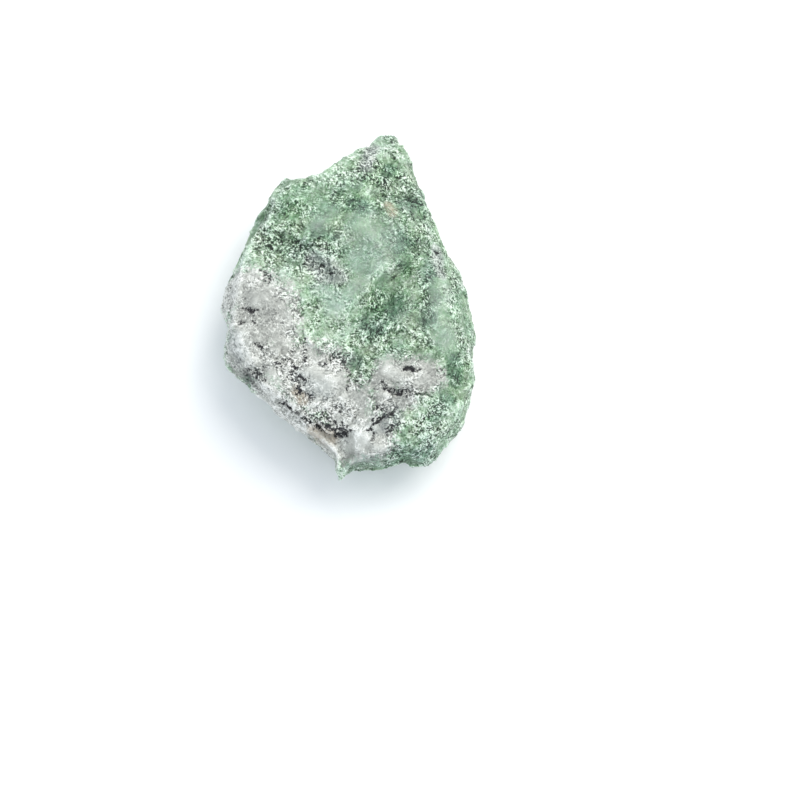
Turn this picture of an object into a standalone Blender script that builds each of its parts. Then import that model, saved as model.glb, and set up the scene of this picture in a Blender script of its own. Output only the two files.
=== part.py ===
# A raw, broken lump of green quartz with diopside, lying flat on its underside.
# One piece of rock: a thick, irregular slab with a pointed top end, a small tooth at the
# lower end, planes of fracture round its rim, and low ledges, scoops and pits on its faces.
#
# Metres, +Z up. The stone's long way is +Y. The origin is on the flat patch that it rests
# on, under the middle of its bounding box.

import math
import random

import bmesh
import bpy
from mathutils import Vector, noise

# Driving sizes

LENGTH = 0.067
WIDTH = 0.048
THICKNESS = 0.0225
MM = 0.001

# Fineness of the solid

WORKING_GRAIN = 0.75 * MM
SOLID_TRIANGLES = 8400
BALL_SUBDIVISIONS = 4
MERGE = 0.00001
CUT_SLACK = 1e-7

# The stone's plan at its widest level, clockwise from the pointed end, in millimetres

OUTLINE_MM = (
    (5.5, 33.2), (9.4, 32.1), (9.8, 30.0), (11.6, 28.2), (11.8, 25.8), (12.9, 23.3),
    (14.8, 17.3), (17.4, 10.6), (20.6, 4.5), (23.1, -2.0), (23.7, -5.8), (22.5, -9.5),
    (23.2, -14.0), (21.6, -19.5), (21.6, -22.0), (20.0, -23.8), (18.8, -26.3), (14.5, -30.0),
    (10.5, -28.3), (6.0, -30.0), (3.0, -29.4), (0.7, -30.1), (-1.7, -33.0), (-2.4, -32.2),
    (-2.8, -30.6), (-2.6, -28.6), (-6.5, -24.2), (-9.8, -23.4), (-13.0, -20.9), (-15.5, -17.7),
    (-18.2, -16.0), (-19.3, -13.8), (-23.6, -11.5), (-23.7, -9.0), (-22.3, -5.5), (-24.1, -0.5),
    (-23.5, 2.5), (-21.6, 7.5), (-19.0, 12.5), (-17.4, 17.6), (-14.8, 20.3), (-14.6, 22.7),
    (-12.9, 23.3), (-10.4, 22.0), (-6.0, 22.8), (-3.3, 24.3), (-0.5, 26.3), (3.3, 30.0),
)

# Fracture planes. Each is the way it faces, in degrees: its bearing in plan, anticlockwise
# from +X, and its lean above the horizon. A rim plane touches the plan's edge at a height.

RIM_PLANES = (
    # bearing, lean, height of the edge it touches in millimetres
    (4, 11, 10.0), (22, 20, 13.0), (38, 15, 10.5), (58, 28, 14.0), (80, 36, 13.5),
    (110, 30, 12.5), (127, 33, 14.5), (147, 14, 10.5), (163, 22, 14.0), (180, 9, 12.0),
    (197, 18, 15.5), (215, 12, 11.5), (229, 8, 14.5), (247, 26, 15.0), (264, 20, 12.0),
    (285, 30, 14.0), (305, 15, 11.0), (328, 25, 14.0), (346, 12, 12.0),
    (10, -9, 9.0), (30, -32, 7.5), (56, -16, 10.0), (88, -34, 11.0), (118, -14, 9.0),
    (142, -30, 9.0), (168, -7, 8.0), (190, -27, 8.0), (212, -24, 12.5), (236, -38, 9.5),
    (258, -20, 10.0), (282, -11, 8.0), (306, -36, 9.0), (330, -17, 8.0), (352, -34, 6.5),
)

# A face plane passes through a point on the upper or lower side, in millimetres.

FACE_PLANES = (
    # bearing, lean, point it passes through
    (200, 87, (0.0, 2.0, 22.4)),
    (352, 82, (10.0, -2.0, 22.0)),
    (20, 77, (14.0, 4.0, 21.0)),
    (120, 82, (-6.0, 12.0, 22.0)),
    (156, 77, (-13.0, 10.0, 21.0)),
    (226, 82, (-9.0, -10.0, 22.0)),
    (288, 79, (6.0, -18.0, 21.6)),
    (262, 74, (-1.0, -25.0, 20.2)),
    (82, 75, (5.0, 20.0, 21.4)),
    (44, 68, (9.0, 22.0, 20.6)),
    (0, -90, (0.0, 0.0, 0.0)),
    (18, -77, (10.5, 0.0, 0.0)),
    (62, -71, (5.0, 12.0, 0.0)),
    (112, -80, (-3.5, 13.0, 0.0)),
    (157, -73, (-10.0, 7.5, 0.0)),
    (188, -80, (-9.5, -1.0, 0.0)),
    (241, -70, (-5.5, -15.0, 0.0)),
    (292, -78, (4.0, -14.5, 0.0)),
    (336, -72, (9.5, -9.0, 0.0)),
)

# Small flakes struck off at random wherever an edge stands proud, but not at the widest level

FLAKE_SEED = 27
FLAKE_TRIES = 160
FLAKE_DEPTH_MM = (0.2, 1.3)
EDGE_LEVEL_MM = 12.5
EDGE_LOSS_MM = 0.2

# Shell-shaped scars. A large ball bites into the flank or the face by the depth given.

SCARS = (
    # bearing, lean, middle of the scar in millimetres, ball's radius, depth of the bite
    (196, -20, (-22.0, -4.0, 5.5), 12.0, 1.3),
    (232, -24, (-15.0, -17.5, 6.5), 15.0, 1.9),
    (318, -20, (19.0, -22.0, 6.5), 12.0, 1.6),
    (16, -16, (20.5, 5.5, 6.0), 15.0, 1.5),
    (52, 22, (15.0, 20.0, 16.0), 10.0, 1.0),
    (150, 30, (-17.5, 14.5, 17.0), 11.0, 1.0),
    (278, 20, (8.0, -29.5, 16.5), 10.0, 1.1),
    (104, -30, (-4.0, 24.0, 5.0), 13.0, 1.4),
    (70, -66, (7.5, 17.0, 2.2), 11.0, 0.9),
    (196, -70, (-15.5, -5.0, 1.6), 13.0, 0.8),
    (310, -72, (9.0, -20.5, 1.8), 15.0, 0.9),
    (20, 84, (8.0, -1.0, 21.8), 12.0, 0.60),
    (250, 84, (-8.5, 6.2, 22.0), 16.0, 0.45),
)

# Ledges on the upper face. The ground falls to the left of each line, walked in order.

LEDGES = (
    # points of its foot in plan in millimetres, drop, how far the drop fades out behind it
    (((11.6, 6.6), (8.7, 4.4), (5.4, 1.6), (2.0, -1.7), (-1.2, -4.8)), 1.25, 9.0),
    (((1.4, -24.8), (-2.6, -25.5), (-6.9, -23.8), (-12.1, -21.2), (-16.0, -18.4)), 2.20, 10.0),
    (((7.4, -17.0), (8.7, -19.8), (5.4, -23.0), (4.4, -27.6)), 1.10, 7.0),
    (((-2.2, 1.8), (-4.4, 4.7), (-7.4, 8.6), (-12.0, 10.8), (-17.6, 13.1)), 1.10, 8.0),
    (((13.2, -20.0), (16.4, -15.6), (17.4, -10.0)), 0.60, 6.0),
    (((2.6, 21.4), (5.7, 17.0), (8.4, 16.4), (12.4, 18.3)), 0.90, 8.0),
    (((15.5, 14.7), (18.3, 7.3), (20.8, 1.0), (22.2, -5.5)), 0.80, 5.0),
)
LEDGE_RISER_MM = 0.55
LEDGE_END_SHARE = 0.18
LEDGE_WANDER_MM = 0.7
WANDER_WAVE_MM = 2.2
WANDER_LAYER = 1.8

# Pits and low swellings of the upper face. A negative depth is a swelling.

PITS = (
    # middle in plan in millimetres, radius, depth
    ((-9.6, -15.8), 2.4, 0.75), ((-7.0, -19.2), 1.7, 0.60), ((0.4, -14.0), 2.1, 0.65),
    ((11.3, -14.3), 1.8, 0.70), ((12.0, 19.4), 1.7, 0.80), ((-18.6, -14.2), 2.0, 0.75),
    ((-18.8, -3.4), 1.6, 0.50), ((4.7, 23.2), 1.8, 0.50), ((4.6, -6.9), 1.9, 0.60),
    ((-5.5, 9.8), 2.2, 0.45), ((7.6, -1.0), 3.4, 0.45), ((-13.3, 14.2), 2.6, 0.40),
    ((12.4, -16.0), 5.2, -0.50), ((-18.0, 0.4), 5.5, -0.35), ((-3.6, -18.0), 4.2, -0.40),
    ((3.6, 10.2), 5.0, -0.30), ((15.0, -26.0), 3.6, -0.35), ((-8.4, 17.8), 4.6, -0.30),
)

# How far up a point's skin faces, as the z of its normal, where ledges and pits begin and
# where they reach their full depth

UPPER_FACE = (0.35, 0.80)

# Roughness of broken rock: how wide its waves are and how high, in millimetres. Every wave
# is flatter than it is wide, by the layering.

SWELL = (8.5, 0.75)
SWELL_OCTAVES = 2
HACKLE = (4.6, 0.42)
HACKLE_MEAN = 0.4
CRUMB = (2.4, 0.16)
CRUMB_OCTAVES = 3
CRUMB_OFFSET = 0.9
CRUMB_GAIN = 1.6
FINER = 2.0
LAYERING = Vector((1.0, 1.0, 1.7))

# The patch it rests on: how high above it the roughness sets in, and what is ground off it

SEAT_BLEND_MM = 0.6
SEAT_CUT_MM = 0.12

STONE_COLOUR = (0.36, 0.49, 0.38, 1.0)
STONE_ROUGHNESS = 0.62


def clear_scene():
    for obj in list(bpy.data.objects):
        bpy.data.objects.remove(obj)


def facing(bearing, lean):
    """The unit vector of a plane that faces that way, both in degrees."""
    turn, rise = math.radians(bearing), math.radians(lean)
    return Vector((math.cos(turn) * math.cos(rise), math.sin(turn) * math.cos(rise), math.sin(rise)))


def in_metres(point):
    return Vector(point) * MM


def smooth_step(low, high, value):
    share = min(1.0, max(0.0, (value - low) / (high - low)))
    return share * share * (3.0 - 2.0 * share)


def plan_block():
    """The plan as a 2D curve, extruded through the stone's whole thickness, as a bmesh."""
    curve = bpy.data.curves.new("plan", "CURVE")
    curve.dimensions = "2D"
    curve.fill_mode = "BOTH"
    curve.extrude = THICKNESS / 2
    line = curve.splines.new("POLY")
    line.points.add(len(OUTLINE_MM) - 1)
    for point, (x, y) in zip(line.points, OUTLINE_MM):
        point.co = (x * MM, y * MM, 0.0, 1.0)
    line.use_cyclic_u = True
    plan = bpy.data.objects.new("plan", curve)
    bpy.context.scene.collection.objects.link(plan)
    bpy.context.view_layer.update()
    evaluated = plan.evaluated_get(bpy.context.evaluated_depsgraph_get())
    mesh = bpy.data.meshes.new_from_object(evaluated)
    block = bmesh.new()
    block.from_mesh(mesh)
    bmesh.ops.remove_doubles(block, verts=block.verts, dist=MERGE)
    bmesh.ops.translate(block, verts=block.verts, vec=(0.0, 0.0, THICKNESS / 2))
    bmesh.ops.recalc_face_normals(block, faces=block.faces)
    bpy.data.objects.remove(plan)
    bpy.data.meshes.remove(mesh)
    return block


def split_off(block, point, normal):
    """Breaks away what lies outside a plane and closes the break with a flat face."""
    everything = block.verts[:] + block.edges[:] + block.faces[:]
    bmesh.ops.bisect_plane(
        block, geom=everything, dist=CUT_SLACK, plane_co=point, plane_no=normal, clear_outer=True
    )
    rim = [edge for edge in block.edges if edge.is_boundary]
    if rim:
        bmesh.ops.holes_fill(block, edges=rim, sides=0)


def break_to_planes(block):
    for bearing, lean, height in RIM_PLANES:
        level = facing(bearing, 0)
        touch = max((in_metres((x, y, height)) for x, y in OUTLINE_MM), key=level.dot)
        split_off(block, touch, facing(bearing, lean))
    for bearing, lean, point in FACE_PLANES:
        split_off(block, in_metres(point), facing(bearing, lean))


def strike_flakes(block):
    """Small planes at random bearings, each a little inside the furthest corner that way."""
    edge = [in_metres((x, y, EDGE_LEVEL_MM)) for x, y in OUTLINE_MM]
    chance = random.Random(FLAKE_SEED)
    for _ in range(FLAKE_TRIES):
        bearing = chance.uniform(0.0, 360.0)
        lean = math.degrees(math.asin(chance.uniform(-0.92, 0.97)))
        depth = chance.uniform(*FLAKE_DEPTH_MM) * MM
        normal = facing(bearing, lean)
        reach = max(normal.dot(vert.co) for vert in block.verts) - depth
        if reach > max(map(normal.dot, edge)) - EDGE_LOSS_MM * MM:
            split_off(block, normal * reach, normal)


def new_object(name, mesh, collection):
    obj = bpy.data.objects.new(name, mesh)
    collection.objects.link(obj)
    return obj


def scar_cutter(number, scar, collection):
    bearing, lean, middle, radius, depth = scar
    ball = bmesh.new()
    bmesh.ops.create_icosphere(ball, subdivisions=BALL_SUBDIVISIONS, radius=radius * MM)
    centre = in_metres(middle) + facing(bearing, lean) * (radius - depth) * MM
    bmesh.ops.translate(ball, verts=ball.verts, vec=centre)
    mesh = bpy.data.meshes.new(f"scar_{number}")
    ball.to_mesh(mesh)
    ball.free()
    cutter = new_object(mesh.name, mesh, collection)
    cutter.hide_render = True
    cutter.display_type = "WIRE"
    return cutter


def evaluated_bmesh(obj):
    bpy.context.view_layer.update()
    evaluated = obj.evaluated_get(bpy.context.evaluated_depsgraph_get())
    result = bmesh.new()
    result.from_mesh(evaluated.data)
    return result


def settle(obj, shape):
    """Gives the object that shape, with no modifier left on it."""
    shape.to_mesh(obj.data)
    shape.free()
    obj.modifiers.clear()


def side_of_line(spot, line):
    """Signed distance from a line of points, positive to its left, and how far along it is."""
    nearest, side, along = None, 0.0, 0.0
    for index in range(len(line) - 1):
        start, run = line[index], line[index + 1] - line[index]
        share = (spot - start).dot(run) / run.length_squared
        foot = start + run * min(1.0, max(0.0, share))
        away = (spot - foot).length
        if nearest is None or away < nearest:
            nearest = away
            side = away if run.cross(spot - start) > 0 else -away
            along = (index + min(1.0, max(0.0, share))) / (len(line) - 1)
    return side, along


def ledge_height(spot, ledge):
    """How far a ledge lowers the ground at a spot of the plan, in millimetres."""
    points, drop, reach = ledge
    wave = Vector((spot.x / WANDER_WAVE_MM, spot.y / WANDER_WAVE_MM, WANDER_LAYER))
    side, along = side_of_line(spot, [Vector(point) for point in points])
    riser = smooth_step(-LEDGE_RISER_MM, LEDGE_RISER_MM, side + LEDGE_WANDER_MM * noise.noise(wave))
    fade = 1.0 - smooth_step(0.0, reach, side)
    ends = smooth_step(0.0, LEDGE_END_SHARE, along) * smooth_step(0.0, LEDGE_END_SHARE, 1.0 - along)
    return -drop * riser * fade * ends


def pit_height(spot, pit):
    middle, radius, depth = pit
    away = (spot - Vector(middle)).length / radius
    return 0.0 if away >= 1.0 else -depth * (1.0 - away * away) ** 2


def rock_roughness(place):
    """Waves, hackles and crumbs of broken rock at a place, in millimetres."""
    place = place * LAYERING
    across, height = SWELL
    swell = height * noise.fractal(place / across, 1.0, FINER, SWELL_OCTAVES)
    across, height = HACKLE
    nearest, second = noise.voronoi(place / across)[0][:2]
    hackle = height * (min(1.0, second - nearest) - HACKLE_MEAN)
    across, height = CRUMB
    ridges = noise.ridged_multi_fractal(
        place / across, 1.0, FINER, CRUMB_OCTAVES, CRUMB_OFFSET, CRUMB_GAIN
    )
    crumb = height * (ridges - 1.0)
    return swell + hackle + crumb


def relief(vert):
    """How far a point of the stone's skin stands out, in millimetres."""
    place = vert.co / MM
    height = rock_roughness(place)
    upward = smooth_step(*UPPER_FACE, vert.normal.z)
    if upward:
        spot = place.to_2d()
        height += upward * sum(ledge_height(spot, ledge) for ledge in LEDGES)
        height += upward * sum(pit_height(spot, pit) for pit in PITS)
    return height * smooth_step(0.0, SEAT_BLEND_MM, place.z)


def carve_relief(shape):
    shape.normal_update()
    moves = [vert.normal * relief(vert) * MM for vert in shape.verts]
    for vert, move in zip(shape.verts, moves):
        vert.co += move


def thin_out(obj, triangles):
    """Fewer, larger facets, so that the solid holds about that many triangles."""
    there = sum(len(face.vertices) - 2 for face in obj.data.polygons)
    fewer = obj.modifiers.new("fewer_facets", "DECIMATE")
    fewer.ratio = triangles / there


def extents(shape):
    low = Vector(min(vert.co[axis] for vert in shape.verts) for axis in range(3))
    high = Vector(max(vert.co[axis] for vert in shape.verts) for axis in range(3))
    return low, high


def bring_to_size(shape):
    """The driving sizes, with the origin under the middle of the box at the seat."""
    low, high = extents(shape)
    middle = (low + high) / 2
    bmesh.ops.translate(shape, verts=shape.verts, vec=(-middle.x, -middle.y, -low.z))
    wide, long, thick = high - low
    stretch = (WIDTH / wide, LENGTH / long, THICKNESS / thick)
    bmesh.ops.scale(shape, verts=shape.verts, vec=stretch)


def stone_material():
    material = bpy.data.materials.new("green_quartz")
    material.use_nodes = True
    shader = material.node_tree.nodes["Principled BSDF"]
    shader.inputs["Base Color"].default_value = STONE_COLOUR
    shader.inputs["Roughness"].default_value = STONE_ROUGHNESS
    shader.inputs["Metallic"].default_value = 0.0
    return material


def build_stone():
    parts = bpy.data.collections.new("green_quartz_with_diopside")
    cutters = bpy.data.collections.new("cutters")
    for collection in (parts, cutters):
        bpy.context.scene.collection.children.link(collection)
    mesh = bpy.data.meshes.new("stone")
    stone = new_object("stone", mesh, parts)

    block = plan_block()
    break_to_planes(block)
    strike_flakes(block)
    settle(stone, block)

    for number, scar in enumerate(SCARS, 1):
        bite = stone.modifiers.new(f"scar_{number}", "BOOLEAN")
        bite.operation = "DIFFERENCE"
        bite.object = scar_cutter(number, scar, cutters)
    grain = stone.modifiers.new("even_grain", "REMESH")
    grain.mode = "VOXEL"
    grain.voxel_size = WORKING_GRAIN
    shape = evaluated_bmesh(stone)
    carve_relief(shape)
    settle(stone, shape)

    thin_out(stone, SOLID_TRIANGLES)
    shape = evaluated_bmesh(stone)
    low = extents(shape)[0]
    split_off(shape, (0.0, 0.0, low.z + SEAT_CUT_MM * MM), (0.0, 0.0, -1.0))
    bmesh.ops.triangulate(shape, faces=shape.faces)
    bring_to_size(shape)
    settle(stone, shape)
    stone.data.materials.append(stone_material())
    for obj in list(cutters.objects):
        bpy.data.objects.remove(obj)


clear_scene()
build_stone()
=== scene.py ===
import math

import bpy
import numpy as np
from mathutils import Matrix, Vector


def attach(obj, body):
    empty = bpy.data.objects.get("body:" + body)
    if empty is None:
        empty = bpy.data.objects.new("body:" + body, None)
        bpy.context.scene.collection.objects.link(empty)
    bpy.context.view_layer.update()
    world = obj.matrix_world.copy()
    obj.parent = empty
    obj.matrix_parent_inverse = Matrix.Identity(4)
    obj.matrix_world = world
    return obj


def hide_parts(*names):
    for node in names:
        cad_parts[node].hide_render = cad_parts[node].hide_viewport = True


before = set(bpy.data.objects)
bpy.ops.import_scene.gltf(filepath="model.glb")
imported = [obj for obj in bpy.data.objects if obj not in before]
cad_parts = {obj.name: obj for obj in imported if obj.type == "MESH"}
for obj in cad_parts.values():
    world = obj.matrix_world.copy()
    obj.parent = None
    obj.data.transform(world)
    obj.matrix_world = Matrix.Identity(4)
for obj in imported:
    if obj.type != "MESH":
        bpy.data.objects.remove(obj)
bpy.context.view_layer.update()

# The stone's skin. The real piece is one lump of fine-grained quartz coloured by grains of
# diopside, broken by hand from a larger block, so its skin is all fracture: sugary grains,
# small shards that stand at an angle, pits where a grain fell out, and a few open cracks.

GRAIN_STEP = 0.00031  # metres from point to point of the skin
MERGE = 0.00001
SMOOTHING = 0.5
SMOOTHING_ROUNDS = 9

bpy.ops.object.select_all(action="DESELECT")
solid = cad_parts["stone"]
solid.select_set(True)
bpy.context.view_layer.objects.active = solid
bpy.ops.object.duplicate()
skin = bpy.context.active_object
skin.name = "stone_skin"
skin.data.name = "stone_skin"
bpy.ops.object.mode_set(mode="EDIT")
bpy.ops.mesh.select_all(action="SELECT")
bpy.ops.mesh.remove_doubles(threshold=MERGE)
bpy.ops.object.mode_set(mode="OBJECT")


def finish_with(kind, **settings):
    """Adds a modifier to the skin, sets it and applies it."""
    step = skin.modifiers.new(kind.lower(), kind)
    for name, value in settings.items():
        setattr(step, name, value)
    bpy.ops.object.modifier_apply(modifier=step.name)


finish_with("REMESH", mode="VOXEL", voxel_size=GRAIN_STEP, use_smooth_shade=True)
finish_with("SMOOTH", factor=SMOOTHING, iterations=SMOOTHING_ROUNDS)


# What the rock is made of differs from place to place. Each kind of ground is painted on the
# skin as strokes: a reach in millimetres, then the points of its line, x and y on the upper
# face. A stroke's ground also runs down the flanks below the upper face, and fades out there.

UPPER_FACE = 0.0155  # metres above the table, at the upper face's rim
FLANK_FADE = 0.014
MM_PER_METRE = 1000.0

STROKES = {
    "quartz": (  # pinkish-white quartz
        (5.0, (-22.5, 1.0), (-17.5, 0.5), (-14.0, -2.0), (-12.5, -6.5)),
        (5.0, (-18.0, -4.0), (-18.0, -10.0)),
        (5.0, (-19.5, -11.0), (-10.5, -13.0), (-3.5, -15.5)),
        (5.8, (-8.5, -16.0), (-0.5, -20.5), (1.0, -25.0)),
        (4.6, (-1.5, -27.0), (5.0, -26.5)),
        (2.8, (7.0, -20.5), (10.5, -19.5)),
        (3.1, (8.0, -15.2), (15.0, -15.6)),
        (2.4, (12.0, -17.5), (13.5, -17.5)),
        (2.2, (6.0, -16.5), (8.0, -19.0)),
        (3.0, (-15.5, -18.0), (-8.5, -24.0), (-3.5, -28.0)),
        (1.6, (-3.5, -28.0), (-2.8, -31.0)),
    ),
    "pale": (  # lighter rock, and in two strokes painted light
        (3.0, (-22.5, 0.5), (-20.5, 5.0), (-19.0, 8.0)),
        (3.0, (-18.0, 3.5), (-12.5, 2.5)),
        (4.5, (-9.0, 0.5), (-8.0, -7.0)),
        (3.8, (-5.0, -8.0), (0.5, -8.5)),
        (4.0, (-5.5, -1.5), (-4.0, -5.5), (0.0, -4.8)),
        # This stroke lightens the left flank, which faces away from the soft box: painted light.
        (2.6, (-24.0, 3.0), (-23.5, -4.0), (-23.5, -10.5)),
        (4.0, (-7.5, -14.0), (-3.5, -17.0)),
        (5.6, (-2.0, -28.0), (4.0, -28.0)),
        (2.6, (-16.0, -18.5), (-8.5, -24.0), (-4.0, -28.0)),
        (1.4, (7.8, -15.0), (9.0, -15.4)),
        (2.6, (-5.0, -21.0), (1.0, -21.5)),
        (1.8, (-20.5, -9.5), (-17.0, -12.3), (-13.5, -12.3)),
        # A painted highlight on the rib of a small step, beside its painted shade line.
        (0.9, (-9.8, -1.0), (-9.4, -4.5), (-9.3, -7.5)),
        (2.4, (-3.5, -28.5), (-2.0, -32.5)),
        (2.0, (-6.0, 21.3), (-1.5, 23.3), (3.0, 27.5)),
        (1.2, (6.5, 30.5), (7.5, 26.0)),
        (3.4, (12.5, -24.0), (16.0, -26.0)),
        (1.2, (12.0, -20.0), (14.5, -21.5)),
    ),
    "deep": (  # darker green, and in one recess painted shade
        # Darker green here, deepened by painted shade in the recess right of the middle.
        (3.6, (5.0, -6.5), (8.3, -2.6)),
        (2.6, (11.0, 6.0), (10.5, 9.0)),
        (1.6, (16.0, -23.5), (18.5, -19.5)),
        (2.2, (11.0, 17.0), (13.0, 20.0)),
        (1.3, (-19.0, -14.8), (-15.8, -16.2)),
        (2.6, (1.0, -31.0), (7.0, -30.5)),
        (3.0, (10.5, -30.0), (15.0, -29.5)),
        (1.8, (-6.0, 11.8), (-2.5, 10.8)),
        (1.5, (7.8, -24.8), (10.3, -25.6)),
        (1.6, (-1.5, -12.0), (1.5, -13.5)),
        (1.6, (0.5, 16.5), (2.5, 16.0)),
        (1.2, (7.0, 22.5), (8.0, 24.5)),
        (2.0, (14.5, 4.0), (15.3, -1.0), (15.0, -6.0)),
        (1.5, (19.6, -12.5), (20.0, -16.0)),
    ),
    "specks": (  # black grains and pits close together
        (1.6, (-16.0, 10.0), (-11.5, 9.5), (-6.5, 8.5)),
        (1.4, (-5.5, 9.5), (-1.0, 6.5)),
        (1.9, (-7.5, 6.0), (-2.6, 3.4)),
        (0.9, (-13.0, 8.0), (-9.5, 6.4)),
        (1.5, (-15.5, 4.0), (-14.5, 2.0)),
        (0.9, (-17.5, -4.0), (-16.7, -6.5)),
        (1.0, (-19.6, -15.2), (-17.9, -17.2)),
        (1.8, (-17.6, -14.3), (-15.7, -15.9)),
        (1.2, (-16.7, -9.9), (-14.8, -11.2)),
        (1.2, (-12.7, -14.0), (-11.0, -13.3)),
        (1.4, (-9.7, -13.6), (-8.3, -14.3)),
        (1.9, (-9.7, -15.9), (-7.6, -16.6)),
        (1.2, (-8.8, -17.3), (-8.6, -19.0)),
        (0.8, (-7.8, -9.0), (-7.6, -13.2)),
        (0.9, (-4.7, -13.6), (-4.0, -13.8)),
        (1.4, (-2.2, -12.2), (-0.8, -13.3)),
        (1.5, (0.0, -14.7), (1.4, -16.7)),
        (0.7, (0.8, -17.0), (0.2, -18.3)),
        (1.3, (7.8, -18.3), (11.0, -19.0)),
        (1.3, (5.8, -21.6), (7.2, -22.5)),
        (1.1, (5.0, -24.0), (6.0, -23.5)),
        (1.4, (7.5, -25.3), (10.3, -24.3)),
        (1.0, (-3.5, -24.2), (-0.5, -24.8)),
        (1.3, (2.5, -6.5), (6.0, -7.5)),
        (1.2, (4.3, 22.6), (5.8, 21.0), (6.6, 19.2)),
        (1.8, (11.4, 17.8), (13.0, 17.8)),
        (0.9, (10.6, -14.8), (11.6, -14.4), (12.4, -14.9)),
        (0.8, (10.9, 16.9), (12.0, 15.4)),
        (1.5, (-16.0, 13.0), (-16.5, 9.0)),
        (1.1, (16.6, 7.8), (17.6, 4.5)),
    ),
    "crack": (  # open cracks
        (0.8, (-12.5, -20.5), (-11.0, -20.8), (-9.8, -22.3), (-8.0, -23.3)),
        (1.1, (-8.0, -23.3), (-6.5, -24.1), (-4.0, -25.0), (-2.0, -26.0), (-0.8, -25.6),
         (0.7, -25.7)),
        (0.8, (-8.3, -18.3), (-6.8, -19.3), (-5.8, -19.9)),
        (0.5, (8.9, -21.4), (8.4, -22.3), (7.8, -22.8)),
        (0.5, (6.8, -23.2), (5.6, -24.2), (4.6, -24.8)),
        (1.6, (-6.0, -24.2), (-4.0, -25.0), (-2.0, -26.0), (-0.2, -25.7)),
        (0.7, (3.8, -25.6), (4.6, -25.4), (5.1, -26.2), (4.8, -27.3)),
        (0.6, (6.3, -16.9), (7.0, -17.2), (6.9, -18.2)),
        (0.3, (7.2, -17.8), (7.9, -18.9), (9.9, -19.2), (10.3, -18.0)),
        (0.3, (12.8, -19.0), (13.7, -19.0), (14.7, -18.7)),
        (0.6, (11.0, -14.5), (11.6, -14.3), (12.1, -14.8)),
        (0.3, (12.2, -14.9), (12.8, -15.0), (13.6, -14.6)),
        (0.3, (10.2, -15.0), (11.0, -14.5)),
        (0.6, (-17.7, -3.5), (-17.2, -3.8)),
        (0.4, (-19.2, -2.9), (-17.5, -3.5), (-15.3, -3.4)),
        (0.5, (-19.3, -6.0), (-18.8, -5.7)),
    ),
    "crease": (  # painted shade along the foot of small steps and folds
        (0.6, (0.0, -4.0), (1.5, -3.0), (3.0, -1.5), (5.5, 0.5), (8.0, 2.5), (10.5, 5.0)),
        (0.5, (-4.0, 15.5), (-1.5, 14.5), (0.0, 12.5)),
        (0.5, (-8.8, 0.5), (-8.3, -3.5), (-8.0, -8.0)),
        (0.6, (-17.5, 3.5), (-15.5, 2.0), (-14.5, 1.0)),
    ),
    "rust": (  # tan stains
        (1.3, (-9.0, -18.5), (-8.0, -20.0)),
        (1.6, (-6.0, -25.5), (-2.5, -26.5)),
        (1.2, (7.5, 16.5), (8.5, 15.0)),
    ),
    "frost": (  # bluish-white grains
        (2.3, (-8.5, -16.5), (-4.0, -19.0)),
        (2.3, (-21.0, -8.5), (-19.5, -11.0)),
        (1.9, (4.5, 29.5), (3.5, 25.0)),
        (1.3, (16.3, 8.8), (17.4, 3.5)),
        (2.4, (5.5, -24.5), (9.0, -23.0)),
        (2.6, (-6.0, 5.6), (-2.0, 2.8)),
    ),
    "vivid": (  # stronger green
        (1.6, (7.0, 22.0), (8.0, 24.0)),
        (1.6, (4.5, -15.0), (5.0, -17.0)),
        (2.3, (10.5, 8.0), (11.0, 4.5)),
        (3.8, (-8.5, 15.0), (2.5, 17.5)),
        (4.0, (5.5, -3.5), (8.0, -0.5)),
        (2.6, (19.5, -11.5), (20.5, -19.5)),
        (1.9, (6.0, -30.5), (13.5, -30.0)),
    ),
    "glass": (  # smooth, glassy ground
        (5.5, (2.5, 12.0), (6.0, 7.5)),
        (4.1, (3.0, 5.5), (6.5, 5.5)),
        (2.6, (0.0, -1.0), (3.0, 2.0)),
        (3.0, (-4.0, -0.5), (-2.0, -3.5)),
        (5.0, (-17.5, -1.0), (-14.5, -3.0), (-15.0, -7.5)),
        (5.0, (-1.5, -28.0), (4.0, -28.0)),
        (2.6, (17.3, 1.5), (17.0, -3.0), (18.5, -10.5)),
        (3.0, (8.0, -14.5), (9.5, -15.5)),
        (2.4, (14.5, -15.0), (13.5, -17.0)),
        (2.6, (-5.5, 13.0), (-3.0, 15.0)),
        (1.5, (-6.0, -11.5), (-4.5, -12.5)),
        (2.2, (-6.2, -15.5), (-3.0, -17.5)),
        (2.0, (2.0, -19.5), (3.5, -22.5)),
        (1.6, (-13.5, -15.5), (-12.0, -17.5)),
    ),
    "coarse": (  # coarser, livelier grain
        (4.5, (-13.0, 8.0), (-6.0, 6.5), (-2.0, 3.0)),
        (2.5, (0.0, -12.0), (-1.5, -14.0)),
        (4.5, (8.5, -25.0), (16.0, -23.0)),
        (3.0, (5.0, -30.0), (14.0, -29.0)),
        (2.0, (17.0, 3.0), (18.0, -1.0)),
        (2.6, (4.0, 24.0), (12.0, 20.0)),
        (4.5, (-8.5, -16.0), (-6.0, -20.0), (-1.0, -24.5)),
        (1.6, (7.0, -18.0), (11.5, -19.0)),
    ),
}


def painted(places, strokes, up=1.0):
    """How near each place is to its nearest stroke: 1 on the line, 0 at its reach, at least -1.
    Given how far up each place faces, a stroke is no wider on a slope than on the level."""
    nearest = np.full(len(places), -1.0)
    for reach, *line in strokes:
        line = np.array(line) / MM_PER_METRE
        for start, end in zip(line, line[1:]):
            run = end - start
            share = np.clip((places[:, :2] - start) @ run / (run @ run), 0, 1)
            aside = np.linalg.norm(places[:, :2] - start - share[:, None] * run, axis=1)
            nearest = np.maximum(nearest, 1 - aside * MM_PER_METRE / reach / up)
    down = (UPPER_FACE - places[:, 2]).clip(min=0) / FLANK_FADE
    return (nearest - down).clip(min=-1)


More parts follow.
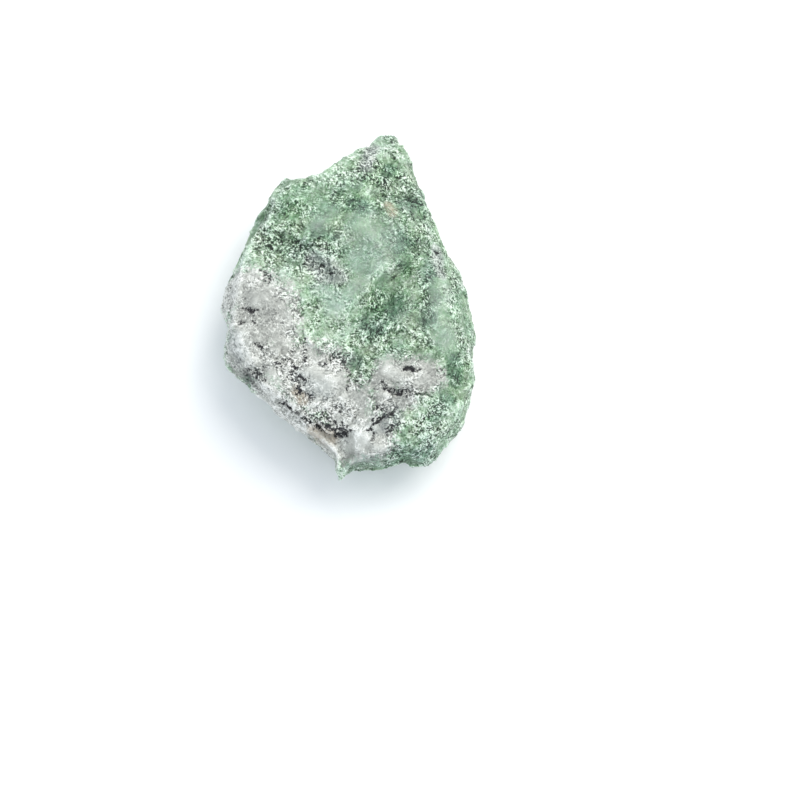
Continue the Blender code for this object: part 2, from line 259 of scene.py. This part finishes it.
def read(data, name):
    """A vector of every point of the skin, one row each."""
    rows = np.empty(len(data) * 3, dtype=np.float32)
    data.foreach_get(name, rows)
    return rows.reshape(-1, 3).astype(float)


def keep(name, values):
    """Stores a number for every point of the skin, for the relief and the finish to read."""
    layer = skin.data.attributes.new(name, "FLOAT", "POINT")
    layer.data.foreach_set("value", values.astype(np.float32))


THIN_GROUNDS = ("crack", "crease")
STEEPEST = 0.25

places = read(skin.data.vertices, "co")
up = read(skin.data.vertex_normals, "vector")[:, 2].clip(min=STEEPEST)
for ground, strokes in STROKES.items():
    keep(ground, painted(places, strokes, up if ground in THIN_GROUNDS else 1.0))


class Strand:
    """A socket of a node tree. Sums on it add the Math nodes that work them out."""

    def __init__(self, tree, socket=None):
        self.tree = tree
        self.socket = socket

    def node(self, kind, settings=None, sockets=None, output=0):
        """Adds a node, sets it, then fills its sockets with values or links. Gives one output."""
        made = self.tree.nodes.new(kind)
        for name, value in (settings or {}).items():
            if name == "stops":
                fill_ramp(made.color_ramp, value)
            else:
                setattr(made, name, value)
        for key, value in (sockets or {}).items():
            if isinstance(value, Strand):
                self.tree.links.new(value.socket, made.inputs[key])
            elif isinstance(value, tuple) and made.inputs[key].type == "RGBA":
                made.inputs[key].default_value = (*value, 1.0)
            else:
                made.inputs[key].default_value = value
        return Strand(self.tree, made.outputs[output] if made.outputs else None)

    def math(self, operation, first, second=0.0):
        return self.node("ShaderNodeMath", {"operation": operation}, {0: first, 1: second})

    def larger(self, other):
        """The larger of this value and another."""
        return self.math("MAXIMUM", self, other)

    def size(self):
        """This value without its sign."""
        return self.math("ABSOLUTE", self)

    def __add__(self, other):
        return self.math("ADD", self, other)

    def __radd__(self, other):
        return self.math("ADD", other, self)

    def __sub__(self, other):
        return self.math("SUBTRACT", self, other)

    def __rsub__(self, other):
        return self.math("SUBTRACT", other, self)

    def __mul__(self, other):
        return self.math("MULTIPLY", self, other)

    def __rmul__(self, other):
        return self.math("MULTIPLY", other, self)

    def step(self, low, high):
        """0 below low, 1 above high, and a soft rise between them."""
        return self.node(
            "ShaderNodeMapRange",
            {"interpolation_type": "SMOOTHSTEP"},
            {"Value": self, "From Min": low, "From Max": high},
        )

    def vector(self, operation, other):
        """Vector Math on this vector and another one, or a number that scales it."""
        second = "Scale" if operation == "SCALE" else 1
        output = "Value" if operation == "DOT_PRODUCT" else "Vector"
        return self.node(
            "ShaderNodeVectorMath", {"operation": operation}, {0: self, second: other}, output
        )

    def turned(self, angle):
        """This place turned about the upright axis."""
        return self.node(
            "ShaderNodeVectorRotate", {"rotation_type": "Z_AXIS"}, {0: self, "Angle": angle}
        )

    def centred(self):
        """A random colour as a vector that points any way, each part from -0.5 to 0.5."""
        return self.vector("SUBTRACT", (0.5, 0.5, 0.5))

    def part(self, number):
        """One of the three parts of this vector or random colour."""
        return self.node("ShaderNodeSeparateXYZ", {}, {0: self}, number)

    def waves(self, across, detail=2.0, roughness=0.5, swirl=0.0):
        """Cloudy noise from -0.5 to 0.5, its waves that many millimetres across."""
        return self.node(
            "ShaderNodeTexNoise", {},
            {"Vector": self, "Scale": 1 / across, "Detail": detail, "Roughness": roughness,
             "Distortion": swirl},
        ) - 0.5

    def cells(self, across, output="Color", feature="F1"):
        """Grains that many millimetres across, by default as a random colour for each."""
        sockets = {"Vector": self, "Scale": 1 / across}
        return self.node("ShaderNodeTexVoronoi", {"feature": feature}, sockets, output)

    def ramp(self, stops):
        """The colour that a row of stops gives this value."""
        return self.node("ShaderNodeValToRGB", {"stops": stops}, {0: self})

    def tint(self, other, share):
        """This colour, with that share of another over it."""
        return self.node("ShaderNodeMix", {"data_type": "RGBA"}, {0: share, 6: self, 7: other}, 2)


def fill_ramp(ramp, stops):
    """Gives a ramp its stops, each a place along it and a colour."""
    while len(ramp.elements) < len(stops):
        ramp.elements.new(1.0)
    for element, (place, colour) in zip(ramp.elements, stops):
        element.position = place
        element.color = (*colour, 1.0)


# The bands of the rock run from upper right to lower left and bend here and there. Grains are
# drawn out along them. All sizes of grains and waves are in millimetres.

BAND_TURN = math.radians(-52)
BAND_STRETCH = (0.42, 1.0, 0.8)
BEND_ACROSS = 16.0
BEND_REACH = 12.0


def shaken(place, across, reach):
    """The place moved a little at random, so that what is drawn on it isn't straight-edged."""
    shift = place.node(
        "ShaderNodeTexNoise", {}, {"Vector": place, "Scale": 1 / across, "Detail": 2.0}, "Color"
    )
    return place.vector("ADD", shift.centred().vector("SCALE", reach))


def banded(place):
    """The place turned along the bands and squeezed, so that what is drawn on it comes out long."""
    return shaken(place, BEND_ACROSS, BEND_REACH).turned(BAND_TURN).vector("MULTIPLY", BAND_STRETCH)


def shards(place, across, tilt):
    """Small broken facets: each cell of the rock is a plane of its own, at a slight tilt."""
    middle = place.cells(across, "Position")
    lean = place.cells(across).centred()
    return place.vector("SUBTRACT", middle).vector("DOT_PRODUCT", lean) * tilt


# A painted ground breaks up at its rim, because the kinds of rock grew into each other.

RAG_ACROSS = 2.4
RAG_REACH = 1.2


def ragged(place, field, low, high):
    """A painted ground with a ragged edge: none of it below low, all of it above high."""
    rags = place.waves(RAG_ACROSS, detail=4.0, roughness=0.65)
    return (field + rags * RAG_REACH).step(low, high)


# The grain: sugary crystal ends everywhere, and thin flat crystals in bundles. It is dull in
# some places and sharp in others, and changes over quickly between them.

CRYSTAL_ACROSS = 0.50
FLAKE_ACROSS = 0.25
FLAKE_STRETCH = (1.0, 0.30, 0.7)
BUNDLE_ACROSS = 1.7
BUNDLE_SPREAD = math.radians(110)
SPARKLE_ACROSS = 3.4
SPARKLE_LEAST = 0.32
SPARKLE_RISE = 0.90
DULL_TO_SHARP = (-0.13, 0.13)


def crystals(place):
    """The sugary grain, from -0.5 to 0.5: crystal ends about half a millimetre across."""
    return banded(place).waves(CRYSTAL_ACROSS, detail=3.0, roughness=0.70, swirl=0.9)


def flakes(place):
    """Thin crystals, about 0.3 by 1 mm, that lie side by side in bundles. Each bundle has its own
    direction, and each crystal its own colour, of random numbers."""
    bundle = shaken(place, across=1.0, reach=1.6).cells(BUNDLE_ACROSS).part(0)
    turn = bundle * BUNDLE_SPREAD + BAND_TURN - BUNDLE_SPREAD / 2
    lying = shaken(place, across=0.8, reach=0.5).turned(turn)
    return lying.vector("MULTIPLY", FLAKE_STRETCH).cells(FLAKE_ACROSS)


def sparkle(place):
    """How coarse and sharp the grain is here: it changes every few millimetres."""
    return place.waves(SPARKLE_ACROSS).step(*DULL_TO_SHARP) * SPARKLE_RISE + SPARKLE_LEAST


# What is missing or black: single grains, the open cracks of the quartz, and hairlines. Down
# in an open crack and where a grain fell out, the black is painted shade; other black grains are
# the rock's own. A grain is black where the share of black grains is above its own chance, a
# number from 0 to 1.

BLACK_GRAIN_ACROSS = 0.36
BLACK_SHARE = {"sound": -0.36, "specks": 0.85, "crack": 0.80, "clusters": 1.4}
BLACK_RIM = (0.0, 0.08)
CRACK_WANDER = 1.3
CRACK_FRAY = 3.8
CRACK_LIP = (0.84, 1.00)
HAIRLINE_CORE = 0.3
HAIRLINE_GAPS = (-0.03, 0.06)


def black_grains_and_pits(place, specks, crack):
    """1 in a grain that is nearly black or fell out; where it fell out, its black is painted shade
    in the pit. They are few on sound ground, many among specks, and close together along a crack."""
    among_specks = ragged(place, specks, -0.1, 0.9) * BLACK_SHARE["specks"]
    along_crack = ragged(place, crack, 0.1, 0.9) * BLACK_SHARE["crack"]
    clusters = place.waves(0.9, detail=3.0, roughness=0.75) * BLACK_SHARE["clusters"]
    share = among_specks + along_crack + BLACK_SHARE["sound"] + clusters
    chance = shaken(place, across=0.5, reach=1.0).cells(BLACK_GRAIN_ACROSS).part(0)
    return (share - chance).step(*BLACK_RIM)


def open_crack(place, crack):
    """1 down in an open crack, 0 away from it; there the finish paints shade. It wanders, and its
    lips are frayed.
    """
    wander = place.waves(2.2) * CRACK_WANDER
    fray = place.waves(0.5, detail=3.0, roughness=0.8) * CRACK_FRAY
    return (crack + wander + fray).step(*CRACK_LIP)


def hairlines(place, across, width):
    """Fine cracks that run between grains, with gaps: 1 on a line, 0 off it."""
    edge = shaken(place, across=0.7, reach=2.4).cells(across, "Distance", "DISTANCE_TO_EDGE")
    unbroken = place.waves(1.3, roughness=0.6).step(*HAIRLINE_GAPS)
    return (1 - edge.step(HAIRLINE_CORE * width / across, width / across)) * unbroken


# The height of the skin's finest forms, in millimetres. The glassy ground is smoother, and the
# flat patch that the stone rests on is left flat.

GLASS_SMOOTHER = 0.72
CRUMB_HEIGHT = 0.32
CRYSTAL_HEIGHT = 0.32
PIT_DEPTH = 0.12
CRACK_DEPTH = 0.30
SEAT_FADE = 0.7


def relief(place, glass, specks, crack):
    """How far the skin stands out, from shards, crumbs, crystals, pits and cracks."""
    rough = 1 - GLASS_SMOOTHER * ragged(place, glass, -0.2, 0.5)
    broken = shards(place, across=3.4, tilt=0.22) + shards(place, across=1.5, tilt=0.26)
    crumbs = banded(place).waves(1.9, detail=3.0, roughness=0.6) * CRUMB_HEIGHT
    sugar = crystals(place) * CRYSTAL_HEIGHT * sparkle(place)
    pits = black_grains_and_pits(place, specks, crack) * PIT_DEPTH + open_crack(place, crack) * CRACK_DEPTH
    return (broken + crumbs + sugar) * rough - pits


lift = bpy.data.node_groups.new("skin_relief", "GeometryNodeTree")
lift.interface.new_socket("Geometry", in_out="INPUT", socket_type="NodeSocketGeometry")
lift.interface.new_socket("Geometry", in_out="OUTPUT", socket_type="NodeSocketGeometry")
bench = Strand(lift)
mesh = bench.node("NodeGroupInput")
rest = bench.node("GeometryNodeInputPosition").vector("SCALE", MM_PER_METRE)
ground = {
    name: bench.node("GeometryNodeInputNamedAttribute", {"data_type": "FLOAT"}, {"Name": name})
    for name in ("glass", "specks", "crack")
}
above_seat = rest.part(2).step(0.0, SEAT_FADE)
height = relief(rest, **ground) * above_seat * (1 / MM_PER_METRE)
outward = bench.node("GeometryNodeInputNormal").vector("SCALE", height)
# The finish reads every point's place as it was before the relief, so both see the same grains.
mesh = bench.node(
    "GeometryNodeStoreNamedAttribute", {"data_type": "FLOAT_VECTOR", "domain": "POINT"},
    {"Geometry": mesh, "Name": "rest", "Value": rest},
)
mesh = bench.node("GeometryNodeSetPosition", {}, {"Geometry": mesh, "Offset": outward})
bench.node("NodeGroupOutput", {}, {0: mesh})
finish_with("NODES", node_group=lift)


# How proud each point stands of the skin round it, in millimetres: over a millimetre or so as
# "proud", over three as "edge". The finish paints highlights on proud grains and edges, and
# painted shade in hollows.

ROUNDS = {"proud": 10, "edge": 90}

count = len(skin.data.vertices)
edges = np.empty(len(skin.data.edges) * 2, dtype=np.int64)
skin.data.edges.foreach_get("vertices", edges)
near, far = edges.reshape(-1, 2).T
near, far = np.concatenate((near, far)), np.concatenate((far, near))
neighbours = np.bincount(near, minlength=count)
places = read(skin.data.vertices, "co")
normals = read(skin.data.vertex_normals, "vector")
for name, rounds in ROUNDS.items():
    evened = places.copy()
    for _ in range(rounds):
        sums = [np.bincount(near, weights=evened[far, axis], minlength=count) for axis in range(3)]
        evened = np.stack(sums, axis=1) / neighbours[:, None]
    keep(name, ((places - evened) * normals).sum(axis=1) * MM_PER_METRE)


# The finish. Every grain has a lightness of its own. Green rock and white quartz each turn that
# lightness into their own row of colours, and glassy ground, frost and rust tint them.


def shade(*levels):
    """A colour given as it looks on a screen, 0 to 255, as the linear light of a material."""
    return tuple(
        level / 255 / 12.92 if level < 10.3 else ((level / 255 + 0.055) / 1.055) ** 2.4
        for level in levels
    )


GREEN_ROCK = (
    (0.00, shade(14, 26, 16)),
    (0.20, shade(42, 62, 43)),
    (0.40, shade(88, 112, 87)),
    (0.60, shade(136, 160, 135)),
    (0.80, shade(185, 208, 185)),
    (1.00, shade(234, 248, 233)),
)
WHITE_QUARTZ = (
    (0.00, shade(19, 17, 22)),
    (0.20, shade(54, 54, 56)),
    (0.40, shade(101, 103, 100)),
    (0.60, shade(152, 154, 148)),
    (0.80, shade(202, 204, 197)),
    (1.00, shade(248, 249, 244)),
)
GLASSY_GREY = shade(160, 177, 165)
FROST_BLUE = shade(168, 180, 183)
RUST_TAN = shade(184, 170, 150)

finish = bpy.data.materials.new("green_quartz")
finish.use_nodes = True
finish.node_tree.nodes.clear()
bench = Strand(finish.node_tree)
place = bench.node("ShaderNodeAttribute", {"attribute_name": "rest"}, output="Vector")
ground = {
    name: bench.node("ShaderNodeAttribute", {"attribute_name": name}, output="Fac")
    for name in (*STROKES, *ROUNDS)
}

# Where each ground begins and where it is whole, as painted() gives how near its strokes are.
# Quartz and green rock are intergrown, so that their border follows the grains.

RIMS = {
    "quartz": (-0.15, 0.35),
    "glass": (-0.2, 0.9),
    "coarse": (-0.3, 0.7),
    "deep": (-0.3, 0.7),
    "pale": (-0.3, 0.7),
    "frost": (-0.1, 0.6),
    "rust": (-0.2, 0.8),
    "vivid": (-0.3, 1.0),
}
BESIDE_CRACK = (-0.7, 0.5)
SHADE_LINE = {"across": 1.2, "rags": 1.6, "rim": (0.4, 1.0)}
GRAIN_ACROSS = 0.34
FINE_ACROSS = 0.22
INTERGROWTH = 0.6
HAIRLINE = {"across": 2.3, "width": 0.17}
HAIRLINE_DARKNESS = 0.7

along = banded(place)
grains = shaken(place, across=0.5, reach=0.7).cells(GRAIN_ACROSS)
fine = place.cells(FINE_ACROSS)
flake = flakes(place)
near_strokes = {**ground, "quartz": ground["quartz"] + (grains.part(1) - 0.5) * INTERGROWTH}
quartz, glass, coarse, deep, pale, frost, rust, vivid = (
    ragged(place, near_strokes[name], *rim) for name, rim in RIMS.items()
)
# Painted shade: dark lines along the foot of small steps and folds, with ragged edges.
rags = place.waves(SHADE_LINE["across"], detail=3.0, roughness=0.6) * SHADE_LINE["rags"]
crease = (ground["crease"] + rags).step(*SHADE_LINE["rim"])
beside_crack = ragged(place, ground["crack"], *BESIDE_CRACK)
hairline = hairlines(place, **HAIRLINE) * beside_crack * HAIRLINE_DARKNESS
# Painted shade: black down in the open cracks and in the pits of fallen grains, with the rock's own
# black grains and the dark hairlines.
fissure = open_crack(place, ground["crack"]).larger(hairline)
dark = black_grains_and_pits(place, ground["specks"], ground["crack"]).larger(fissure)

# Thin, bending strings of pale quartz thread the rock in patches. They run where the waves of a
# noise pass through zero, and their width is how far from zero still counts.

LONG_WIDTH = 0.022
SHORT_WIDTH = 0.030
LONG_PATCHES = (-0.04, 0.08)
SHORT_PATCHES = (0.02, 0.10)


def strings(place):
    """1 on a string, 0 off it. The long ones run along the bands, the short ones any way."""
    long = 1 - banded(place).waves(2.6, roughness=0.55).size().step(0.0, LONG_WIDTH)
    short = 1 - place.waves(1.5, roughness=0.6).size().step(0.0, SHORT_WIDTH)
    long_here = place.waves(5.0).step(*LONG_PATCHES)
    short_here = place.waves(1.8).step(*SHORT_PATCHES)
    return (long * long_here).larger(short * short_here)


# How much each thing adds to the grain, and then to the lightness, on the scale of the rows of
# colours. Glassy ground and quartz are calmer than green rock, and coarse ground is livelier.

GRAIN = {"crystals": 0.60, "streaks": 0.35, "bright": 0.24, "dull": 0.24, "flakes": 0.24,
         "fine": 0.50}
BRIGHT_FLAKES = (0.80, 0.90)
DULL_FLAKES = (0.08, 0.16)
LIVELINESS = {"level": 1.25, "glass": 0.75, "quartz": 0.32, "coarse": 0.5}
CLOUDS = {"banded": 0.30, "wide": 0.16, "glass": 0.7, "quartz": 0.55}
PROUD_EDGE = (0.15, 0.5)
TOWARDS_POINT = (4.0, 24.0)
MEAN_LIGHTNESS = 0.575
LIGHTER = {"quartz": 0.06, "pale": 0.12, "strings": 0.18, "proud": 0.5, "edge": 0.10}
DARKER = {"glass": 0.02, "deep": 0.16, "point": 0.045, "dark": 0.48, "dark_quartz": 0.20,
          "fissure": 0.15, "crease": 0.12}

bright = flake.part(0).step(*BRIGHT_FLAKES)
dull = 1 - flake.part(0).step(*DULL_FLAKES)
grain = (
    crystals(place) * GRAIN["crystals"]
    + along.waves(0.9) * GRAIN["streaks"]
    + bright * GRAIN["bright"]
    - dull * GRAIN["dull"]
    + (flake.part(1) - 0.5) * GRAIN["flakes"]
    + (fine.part(0) - 0.5) * GRAIN["fine"]
)
liveliness = (
    sparkle(place)
    * (LIVELINESS["level"] - LIVELINESS["glass"] * glass)
    * (1 - LIVELINESS["quartz"] * quartz)
    * (1 + LIVELINESS["coarse"] * coarse)
)
banks = along.waves(3.0, detail=4.0, roughness=0.6) * CLOUDS["banded"]
clouds = (
    (banks + place.waves(8.0) * CLOUDS["wide"])
    * (1 - CLOUDS["glass"] * glass)
    * (1 - CLOUDS["quartz"] * quartz)
)
lightness = (
    MEAN_LIGHTNESS
    + LIGHTER["quartz"] * quartz
    - DARKER["glass"] * glass
    - DARKER["deep"] * deep
    + LIGHTER["pale"] * pale
    + grain * liveliness
    + clouds
    + strings(place) * LIGHTER["strings"]
    # Painted highlights on proud grains and along edges, and painted shade in hollows.
    + ground["proud"] * LIGHTER["proud"]
    + ground["edge"].step(*PROUD_EDGE) * LIGHTER["edge"]
    # Painted shade, darker towards the pointed end.
    - place.part(1).step(*TOWARDS_POINT) * DARKER["point"]
    # Painted shade in open cracks and pits, with the rock's own black grains.
    - dark * (DARKER["dark"] + DARKER["dark_quartz"] * quartz)
    - fissure * DARKER["fissure"]
    # Painted shade along small steps and folds.
    - crease * DARKER["crease"]
)

# The hue and the strength of the green drift from place to place. 0.5 leaves the hue as it is,
# and 1 the strength.

HUE = {"level": 0.500, "drift": 0.16, "deep": 0.03, "glass": 0.01}
STRENGTH = {"level": 1.08, "vivid": 0.22, "bands": 1.1, "grains": 0.5}
SHARE = {"glassy_grey": 0.30, "frost_white": 0.6, "frost_blue": 0.16, "rust": 0.30,
         "rust_grains": 0.50}

green = lightness.ramp(GREEN_ROCK).tint(GLASSY_GREY, SHARE["glassy_grey"] * glass * (1 - quartz))
hue = (
    HUE["level"]
    + place.waves(4.5, detail=3.0, roughness=0.6) * HUE["drift"]
    + HUE["deep"] * deep
    + HUE["glass"] * glass
)
strength = (
    STRENGTH["level"]
    + STRENGTH["vivid"] * vivid
    + along.waves(2.2, detail=3.0, roughness=0.6) * STRENGTH["bands"]
    + (grains.part(1) - 0.5) * STRENGTH["grains"]
)
green = green.node(
    "ShaderNodeHueSaturation", {}, {"Hue": hue, "Saturation": strength, "Color": green}
)
stain = (SHARE["rust"] + SHARE["rust_grains"] * grains.part(2)) * rust
colour = green.tint(lightness.ramp(WHITE_QUARTZ), quartz.larger(frost * SHARE["frost_white"]))
colour = colour.tint(FROST_BLUE, SHARE["frost_blue"] * frost * (1 - dark))
colour = colour.tint(RUST_TAN, stain * (1 - dark))

# Glassy ground and quartz are a little sleeker than green rock. The bumps are crystal faces
# too small for the mesh, which glint one by one.

ROUGHNESS = {"level": 0.62, "glass": 0.15, "quartz": 0.08, "grains": 0.30}
BUMP = {"crystals": 0.5, "flakes": 0.12, "dust": 0.12, "glass": 0.5}
BUMP_STRENGTH = 0.8
QUARTZ_BENDING = 1.54

roughness = (
    ROUGHNESS["level"]
    - ROUGHNESS["glass"] * glass
    - ROUGHNESS["quartz"] * quartz
    + (fine.part(2) - 0.5) * ROUGHNESS["grains"]
)
glints = (
    crystals(place) * BUMP["crystals"] * sparkle(place)
    + shards(along, across=0.42, tilt=0.30)
    + flake.part(2) * BUMP["flakes"]
    + place.waves(0.30, roughness=0.7) * BUMP["dust"]
)
glints = glints * (1 - BUMP["glass"] * glass)
bumps = bench.node(
    "ShaderNodeBump", {},
    {"Strength": BUMP_STRENGTH, "Distance": 1 / MM_PER_METRE, "Height": glints},
)
shader = bench.node(
    "ShaderNodeBsdfPrincipled", {},
    {"Base Color": colour, "Roughness": roughness, "IOR": QUARTZ_BENDING, "Normal": bumps},
)
bench.node("ShaderNodeOutputMaterial", {}, {"Surface": shader})

skin.data.materials.clear()
skin.data.materials.append(finish)
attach(skin, "root")
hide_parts("stone")


# The table. A plain white sheet of matt board that the stone lies on, a good deal wider than
# the picture, so that its edge never shows.

BOARD_SIDE = 8.0
BOARD_WHITE = shade(250, 250, 251)
BOARD_ROUGHNESS = 0.9

bpy.ops.mesh.primitive_plane_add(size=BOARD_SIDE)
board = bpy.context.active_object
board.name = "board"
paper = bpy.data.materials.new("white_board")
paper.use_nodes = True
sheet_shader = paper.node_tree.nodes["Principled BSDF"]
sheet_shader.inputs["Base Color"].default_value = (*BOARD_WHITE, 1.0)
sheet_shader.inputs["Roughness"].default_value = BOARD_ROUGHNESS
board.data.materials.append(paper)


# The light. A wide soft box stands up and to the right behind the stone, and the white room
# fills the rest with an even, slightly blue light, so that shadows are pale and blue.

ROOM_BLUE = (0.87, 0.935, 1.0)
ROOM_LIGHT = 0.98
LAMP_WHITE = (1.0, 0.955, 0.88)
SOFT_BOX = {"place": (0.34, 0.34, 0.70), "side": 0.55, "power": 4.8}

world = bpy.data.worlds.new("white_room")
bpy.context.scene.world = world
world.use_nodes = True
sky = world.node_tree.nodes["Background"]
sky.inputs["Color"].default_value = (*ROOM_BLUE, 1.0)
sky.inputs["Strength"].default_value = ROOM_LIGHT

bpy.ops.object.light_add(type="AREA", location=SOFT_BOX["place"])
soft_box = bpy.context.active_object
soft_box.name = "soft_box"
soft_box.data.size = SOFT_BOX["side"]
soft_box.data.energy = SOFT_BOX["power"]
soft_box.data.color = LAMP_WHITE
soft_box.rotation_euler = (-Vector(SOFT_BOX["place"])).to_track_quat("-Z", "Y").to_euler()


# The camera. It looks down on the stone from the front, close to straight above, as the
# photograph does, with the same margins round it.

CAMERA_RISE = math.radians(78)
CAMERA_DISTANCE = 0.3525
LENS = 85.0
NEAREST_SEEN = 0.01
AIM = Vector((0.00975, -0.01828, 0.011))

back = Vector((0.0, -math.cos(CAMERA_RISE), math.sin(CAMERA_RISE)))
bpy.ops.object.camera_add(location=AIM + back * CAMERA_DISTANCE)
camera = bpy.context.active_object
camera.data.lens = LENS
camera.data.clip_start = NEAREST_SEEN
camera.rotation_euler = (-back).to_track_quat("-Z", "Y").to_euler()
bpy.context.scene.camera = camera
bpy.context.scene.view_settings.view_transform = "Standard"
